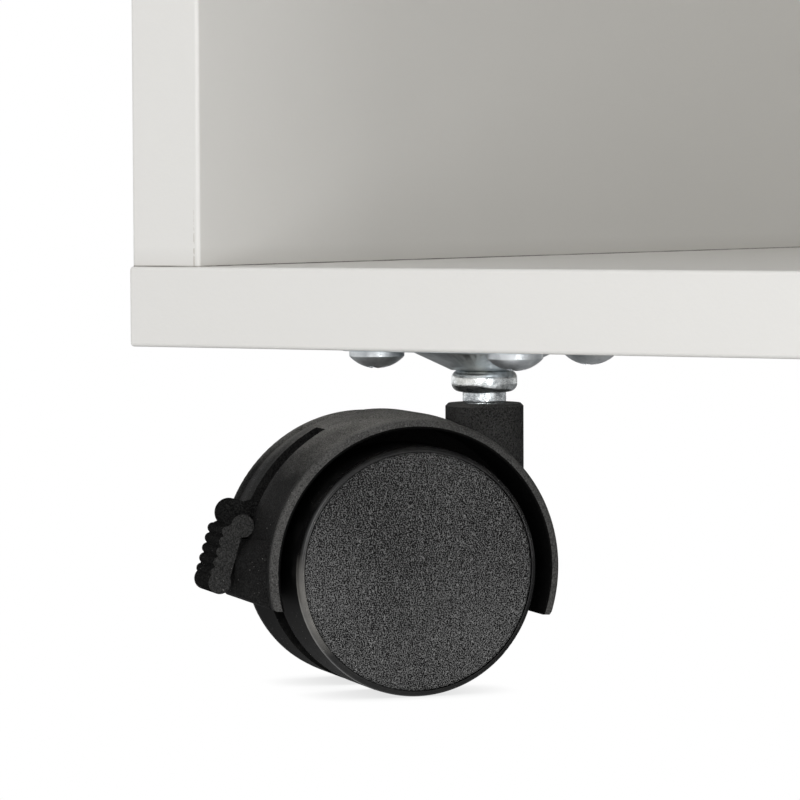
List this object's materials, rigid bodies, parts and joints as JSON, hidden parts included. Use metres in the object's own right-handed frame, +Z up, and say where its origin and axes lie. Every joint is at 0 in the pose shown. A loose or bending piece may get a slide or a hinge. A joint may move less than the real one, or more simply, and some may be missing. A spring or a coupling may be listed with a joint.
{
  "type": "rolling printer stand",
  "caption": "Open white board cabinet with a middle shelf, standing on black twin-wheel swivel casters on steel plates, with foot brakes at the front.",
  "frame": {"origin": "on the floor under the middle of the cabinet", "axes": "+Z up, -Y towards the open front, +X to the right of someone facing the front"},
  "size_m": [0.6, 0.4, 0.66],
  "materials": {
    "melamine": "white melamine, satin",
    "back_board": "white lacquered hardboard",
    "beech": "bare",
    "nickel": "nickel plated",
    "zinc_cast": "bare zinc casting",
    "zinc_plate": "bright zinc plated",
    "housing_plastic": "fine grain",
    "lever_plastic": "fine grain",
    "wheel_plastic": "smooth, satin",
    "cap_plastic": "leather grain"
  },
  "bodies": {
    "cabinet": {"bottom_panel": "melamine", "left_side_panel": "melamine", "right_side_panel": "melamine", "top_panel": "melamine", "middle_shelf": "melamine", "back_panel": "back_board", "shelf_pins": "nickel", "cam_discs": "zinc_cast", "cam_bolts": "zinc_plate", "bottom_joint_screws": "zinc_plate", "dowels": "beech", "front_left_caster_plate": "zinc_plate", "front_left_caster_screws": "zinc_plate", "front_left_caster_stem": "zinc_plate", "front_left_stem_ring": "zinc_plate", "front_right_caster_plate": "zinc_plate", "front_right_caster_screws": "zinc_plate", "front_right_caster_stem": "zinc_plate", "front_right_stem_ring": "zinc_plate", "rear_left_caster_plate": "zinc_plate", "rear_left_caster_screws": "zinc_plate", "rear_left_caster_stem": "zinc_plate", "rear_left_stem_ring": "zinc_plate", "rear_right_caster_plate": "zinc_plate", "rear_right_caster_screws": "zinc_plate", "rear_right_caster_stem": "zinc_plate", "rear_right_stem_ring": "zinc_plate"},
    "front_left_caster_body": {"front_left_caster_housing": "housing_plastic", "front_left_axle": "zinc_plate", "front_left_lever_pin": "zinc_plate"},
    "front_left_wheel_a_body": {"front_left_wheel_a": "wheel_plastic", "front_left_wheel_cap_a": "cap_plastic"},
    "front_left_wheel_b_body": {"front_left_wheel_b": "wheel_plastic", "front_left_wheel_cap_b": "cap_plastic"},
    "front_left_lever_body": {"front_left_brake_lever": "lever_plastic"},
    "front_right_caster_body": {"front_right_caster_housing": "housing_plastic", "front_right_axle": "zinc_plate", "front_right_lever_pin": "zinc_plate"},
    "front_right_wheel_a_body": {"front_right_wheel_a": "wheel_plastic", "front_right_wheel_cap_a": "cap_plastic"},
    "front_right_wheel_b_body": {"front_right_wheel_b": "wheel_plastic", "front_right_wheel_cap_b": "cap_plastic"},
    "front_right_lever_body": {"front_right_brake_lever": "lever_plastic"},
    "rear_left_caster_body": {"rear_left_caster_housing": "housing_plastic", "rear_left_axle": "zinc_plate"},
    "rear_left_wheel_a_body": {"rear_left_wheel_a": "wheel_plastic", "rear_left_wheel_cap_a": "cap_plastic"},
    "rear_left_wheel_b_body": {"rear_left_wheel_b": "wheel_plastic", "rear_left_wheel_cap_b": "cap_plastic"},
    "rear_right_caster_body": {"rear_right_caster_housing": "housing_plastic", "rear_right_axle": "zinc_plate"},
    "rear_right_wheel_a_body": {"rear_right_wheel_a": "wheel_plastic", "rear_right_wheel_cap_a": "cap_plastic"},
    "rear_right_wheel_b_body": {"rear_right_wheel_b": "wheel_plastic", "rear_right_wheel_cap_b": "cap_plastic"}
  },
  "joints": [
    {"name": "front_left_swivel", "type": "hinge", "parent": "cabinet", "child": "front_left_caster_body", "pos_m": [-0.248, -0.148, 0.0697], "axis": [0, 0, 1], "continuous": true},
    {"name": "front_left_wheel_a_spin", "type": "hinge", "parent": "front_left_caster_body", "child": "front_left_wheel_a_body", "pos_m": [-0.26166, -0.16382, 0.025], "axis": [0.757, -0.6534, 0], "continuous": true},
    {"name": "front_left_wheel_b_spin", "type": "hinge", "parent": "front_left_caster_body", "child": "front_left_wheel_b_body", "pos_m": [-0.26166, -0.16382, 0.025], "axis": [0.757, -0.6534, 0], "continuous": true},
    {"name": "front_left_brake", "type": "hinge", "parent": "front_left_caster_body", "child": "front_left_lever_body", "pos_m": [-0.27505, -0.17934, 0.0374], "axis": [-0.757, 0.6534, 0], "range_deg": [0, 75]},
    {"name": "front_right_swivel", "type": "hinge", "parent": "cabinet", "child": "front_right_caster_body", "pos_m": [0.248, -0.148, 0.0697], "axis": [0, 0, 1], "continuous": true},
    {"name": "front_right_wheel_a_spin", "type": "hinge", "parent": "front_right_caster_body", "child": "front_right_wheel_a_body", "pos_m": [0.26166, -0.16382, 0.025], "axis": [0.757, 0.6534, 0], "continuous": true},
    {"name": "front_right_wheel_b_spin", "type": "hinge", "parent": "front_right_caster_body", "child": "front_right_wheel_b_body", "pos_m": [0.26166, -0.16382, 0.025], "axis": [0.757, 0.6534, 0], "continuous": true},
    {"name": "front_right_brake", "type": "hinge", "parent": "front_right_caster_body", "child": "front_right_lever_body", "pos_m": [0.27505, -0.17934, 0.0374], "axis": [-0.757, -0.6534, 0], "range_deg": [0, 75]},
    {"name": "rear_left_swivel", "type": "hinge", "parent": "cabinet", "child": "rear_left_caster_body", "pos_m": [-0.248, 0.148, 0.0697], "axis": [0, 0, 1], "continuous": true},
    {"name": "rear_left_wheel_a_spin", "type": "hinge", "parent": "rear_left_caster_body", "child": "rear_left_wheel_a_body", "pos_m": [-0.26166, 0.16382, 0.025], "axis": [-0.757, -0.6534, 0], "continuous": true},
    {"name": "rear_left_wheel_b_spin", "type": "hinge", "parent": "rear_left_caster_body", "child": "rear_left_wheel_b_body", "pos_m": [-0.26166, 0.16382, 0.025], "axis": [-0.757, -0.6534, 0], "continuous": true},
    {"name": "rear_right_swivel", "type": "hinge", "parent": "cabinet", "child": "rear_right_caster_body", "pos_m": [0.248, 0.148, 0.0697], "axis": [0, 0, 1], "continuous": true},
    {"name": "rear_right_wheel_a_spin", "type": "hinge", "parent": "rear_right_caster_body", "child": "rear_right_wheel_a_body", "pos_m": [0.26166, 0.16382, 0.025], "axis": [-0.757, 0.6534, 0], "continuous": true},
    {"name": "rear_right_wheel_b_spin", "type": "hinge", "parent": "rear_right_caster_body", "child": "rear_right_wheel_b_body", "pos_m": [0.26166, 0.16382, 0.025], "axis": [-0.757, 0.6534, 0], "continuous": true}
  ]
}
